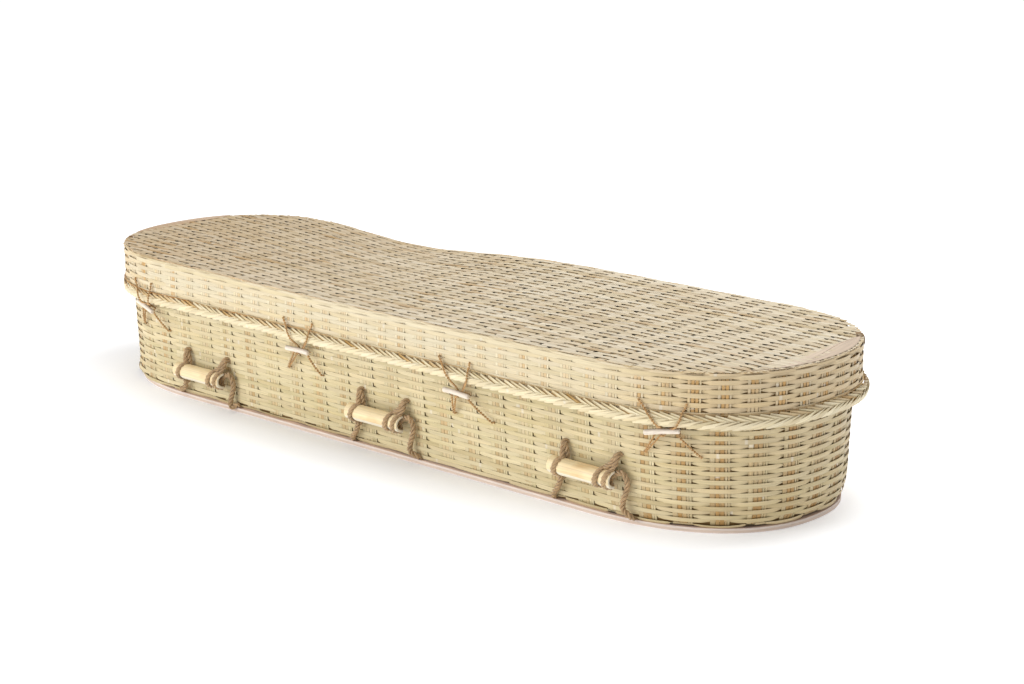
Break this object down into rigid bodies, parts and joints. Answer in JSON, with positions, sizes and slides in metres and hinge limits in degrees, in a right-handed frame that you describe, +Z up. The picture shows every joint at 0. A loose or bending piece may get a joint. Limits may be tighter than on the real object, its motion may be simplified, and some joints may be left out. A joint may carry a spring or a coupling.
{
  "type": "bamboo coffin",
  "caption": "Oval woven bamboo coffin with a deep lift-off lid, plaited rim, rope-slung culm grips, stick-and-cord ties and a plywood base board.",
  "frame": {"origin": "on the floor, under the middle of the base board", "axes": "+X along the length to the head end, +Z up, -Y to the near long side"},
  "size_m": [1.9606, 0.6454, 0.323],
  "materials": {
    "cane": "smooth skin, satin",
    "culm": "smooth skin, satin",
    "flat_slat": "split face, satin",
    "jute_cord": "fibrous, rough",
    "jute_rope": "fibrous, rough",
    "peeled_stick": "peeled, matt",
    "plaited_bamboo": "split and peeled, satin",
    "plywood": "raw, sanded face and cut edge",
    "woven_bamboo": "split and peeled, matt to satin"
  },
  "bodies": {
    "root": {"base_board": "plywood", "body_basket": "woven_bamboo", "body_rim_plait": "plaited_bamboo", "grip_foot_far": "culm", "grip_foot_near": "culm", "grip_head_far": "culm", "grip_head_near": "culm", "grip_middle_far": "culm", "grip_middle_near": "culm", "lid_basket": "woven_bamboo", "lid_edge_cane": "cane", "lid_end_slat_foot": "flat_slat", "lid_end_slat_head": "flat_slat", "lid_rim_cane": "cane", "lid_rim_plait": "plaited_bamboo", "rope_foot_foot": "jute_rope", "rope_foot_head": "jute_rope", "rope_head_foot": "jute_rope", "rope_head_head": "jute_rope", "rope_middle_foot": "jute_rope", "rope_middle_head": "jute_rope", "tie_body_cord_1_far": "jute_cord", "tie_body_cord_1_near": "jute_cord", "tie_body_cord_2_far": "jute_cord", "tie_body_cord_2_near": "jute_cord", "tie_body_cord_3_far": "jute_cord", "tie_body_cord_3_near": "jute_cord", "tie_body_cord_4_far": "jute_cord", "tie_body_cord_4_near": "jute_cord", "tie_lid_cord_1_far": "jute_cord", "tie_lid_cord_1_near": "jute_cord", "tie_lid_cord_2_far": "jute_cord", "tie_lid_cord_2_near": "jute_cord", "tie_lid_cord_3_far": "jute_cord", "tie_lid_cord_3_near": "jute_cord", "tie_lid_cord_4_far": "jute_cord", "tie_lid_cord_4_near": "jute_cord", "tie_toggle_1_far": "peeled_stick", "tie_toggle_1_near": "peeled_stick", "tie_toggle_2_far": "peeled_stick", "tie_toggle_2_near": "peeled_stick", "tie_toggle_3_far": "peeled_stick", "tie_toggle_3_near": "peeled_stick", "tie_toggle_4_far": "peeled_stick", "tie_toggle_4_near": "peeled_stick"}
  },
  "joints": []
}
